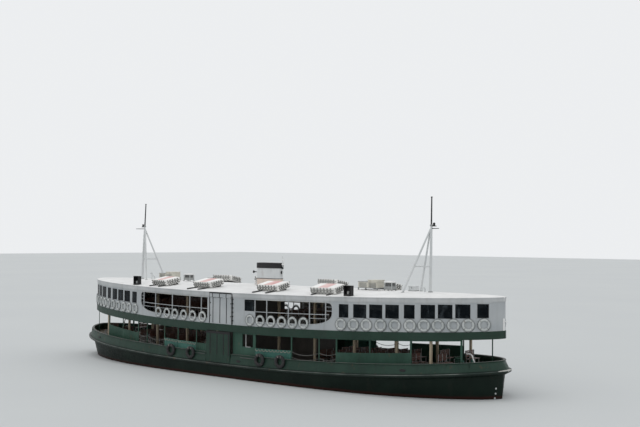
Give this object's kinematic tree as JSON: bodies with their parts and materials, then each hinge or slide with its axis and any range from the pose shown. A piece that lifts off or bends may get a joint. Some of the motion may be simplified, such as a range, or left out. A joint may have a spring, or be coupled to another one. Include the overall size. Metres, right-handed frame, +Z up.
{
  "type": "passenger ferry",
  "caption": "Double-ended two-deck harbour passenger ferry with open lower deck, windowed upper deck, funnel, two masts and roof rafts.",
  "frame": {"origin": "amidships on the centre line at the waterline", "axes": "+X along the ship to one end (fore), +Y to port, +Z up"},
  "size_m": [33.82, 8.928, 12.8221],
  "materials": {
    "hull_paint": "worn satin",
    "green_paint": "satin",
    "white_paint": "satin",
    "roof_paint": "matt",
    "cream_paint": "satin",
    "bench_wood": "varnished",
    "grey_paint": "satin",
    "raft_paint": "matt",
    "bronze": "dull",
    "window_glass": "clear",
    "tyre_rubber": "worn",
    "rope_fibre": "worn",
    "black_paint": "satin",
    "deck_wood": "worn"
  },
  "bodies": {
    "ferry": {"hull": "hull_paint", "belting": "green_paint", "engine_casing": "cream_paint", "upper_deck": "green_paint", "funnel_trunk": "cream_paint", "roof": "roof_paint", "funnel": "white_paint", "roof_vent_fore": "cream_paint", "roof_vent_aft": "cream_paint", "roof_fan_fore": "grey_paint", "roof_fan_aft": "grey_paint", "roof_locker": "white_paint", "bulwark_fore": "green_paint", "upper_wall_fore": "white_paint", "wheelhouse_fore": "cream_paint", "mooring_gear_fore": "green_paint", "mast_fore": "white_paint", "side_frame_fore_starboard": "green_paint", "benches_lower_fore_starboard": "bench_wood", "benches_upper_fore_starboard": "bench_wood", "side_frame_fore_port": "green_paint", "benches_lower_fore_port": "bench_wood", "benches_upper_fore_port": "bench_wood", "bulwark_aft": "green_paint", "upper_wall_aft": "white_paint", "wheelhouse_aft": "cream_paint", "mooring_gear_aft": "green_paint", "mast_aft": "white_paint", "side_frame_aft_starboard": "green_paint", "benches_lower_aft_starboard": "bench_wood", "benches_upper_aft_starboard": "bench_wood", "side_frame_aft_port": "green_paint", "benches_lower_aft_port": "bench_wood", "benches_upper_aft_port": "bench_wood", "girder_lower_starboard": "cream_paint", "girder_upper_starboard": "cream_paint", "raft_starboard_1": "raft_paint", "raft_starboard_2": "raft_paint", "raft_starboard_3": "raft_paint", "raft_starboard_4": "raft_paint", "girder_lower_port": "cream_paint", "girder_upper_port": "cream_paint", "raft_port_1": "raft_paint", "raft_port_2": "raft_paint", "raft_port_3": "raft_paint", "raft_port_4": "raft_paint"},
    "rudder_fore": {"rudder_fore": "hull_paint"},
    "propeller_fore": {"propeller_fore": "bronze"},
    "rudder_aft": {"rudder_aft": "hull_paint"},
    "propeller_aft": {"propeller_aft": "bronze"},
    "gangway_lower_starboard": {"gangway_lower_starboard": "green_paint"},
    "gangway_lower_port": {"gangway_lower_port": "green_paint"},
    "gangway_upper_starboard": {"gangway_upper_starboard": "white_paint"},
    "gangway_upper_port": {"gangway_upper_port": "white_paint"}
  },
  "joints": [
    {"name": "rudder_fore_turn", "type": "hinge", "parent": "ferry", "child": "rudder_fore", "pos_m": [14.8, 0, -1.28], "axis": [0, 0, 1], "range_deg": [-35, 35]},
    {"name": "rudder_aft_turn", "type": "hinge", "parent": "ferry", "child": "rudder_aft", "pos_m": [-14.8, 0, -1.28], "axis": [0, 0, 1], "range_deg": [-35, 35]},
    {"name": "propeller_fore_spin", "type": "hinge", "parent": "ferry", "child": "propeller_fore", "pos_m": [13.9, 0, -1.3], "axis": [1, 0, 0], "continuous": true},
    {"name": "propeller_aft_spin", "type": "hinge", "parent": "ferry", "child": "propeller_aft", "pos_m": [-13.9, 0, -1.3], "axis": [1, 0, 0], "continuous": true},
    {"name": "gangway_lower_starboard_drop", "type": "hinge", "parent": "ferry", "child": "gangway_lower_starboard", "pos_m": [0, -4.3, 0.911], "axis": [1, 0, 0], "range_deg": [0, 90]},
    {"name": "gangway_lower_port_drop", "type": "hinge", "parent": "ferry", "child": "gangway_lower_port", "pos_m": [0, 4.3, 0.911], "axis": [-1, 0, 0], "range_deg": [0, 90]},
    {"name": "gangway_upper_starboard_drop", "type": "hinge", "parent": "ferry", "child": "gangway_upper_starboard", "pos_m": [0, -4.235, 3.1677], "axis": [1, 0, 0], "range_deg": [0, 90]},
    {"name": "gangway_upper_port_drop", "type": "hinge", "parent": "ferry", "child": "gangway_upper_port", "pos_m": [0, 4.235, 3.1677], "axis": [-1, 0, 0], "range_deg": [0, 90]}
  ]
}
